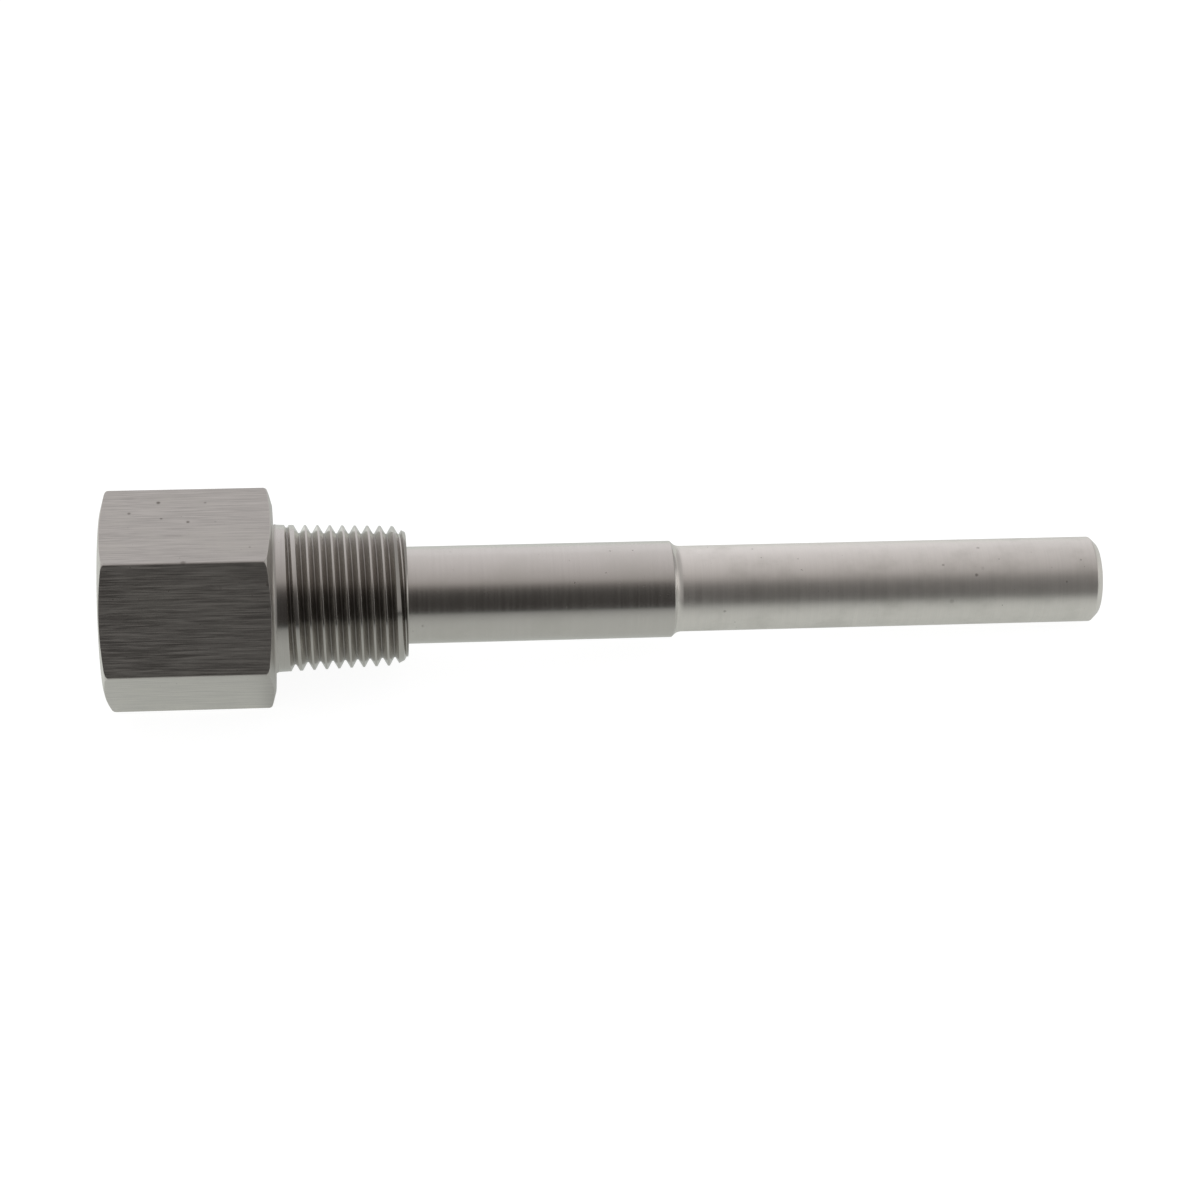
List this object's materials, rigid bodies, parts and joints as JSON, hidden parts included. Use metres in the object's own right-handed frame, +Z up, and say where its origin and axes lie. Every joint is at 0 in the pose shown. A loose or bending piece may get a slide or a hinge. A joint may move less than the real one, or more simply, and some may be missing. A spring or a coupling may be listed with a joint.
{
  "type": "thermowell",
  "caption": "Stepped thermowell turned from hexagon bar: hex head with a threaded socket and deep blind probe bore, tapered process thread, shank and slimmer tip.",
  "frame": {"origin": "on the ground, under the centre of the part's bounding box, with the part lying as it comes to rest on one flat of the hex and the rim of its tip", "axes": "+Z up; +X along the part from the hex head to the tip, seen from above; the part's own axis falls towards the tip by 3.73 degrees, in the XZ plane"},
  "size_m": [0.1482, 0.033, 0.0301],
  "materials": {
    "stainless": "turned and drawn stainless steel, uncoated, with light marks from handling"
  },
  "bodies": {
    "root": {"thermowell": "stainless"}
  },
  "joints": []
}
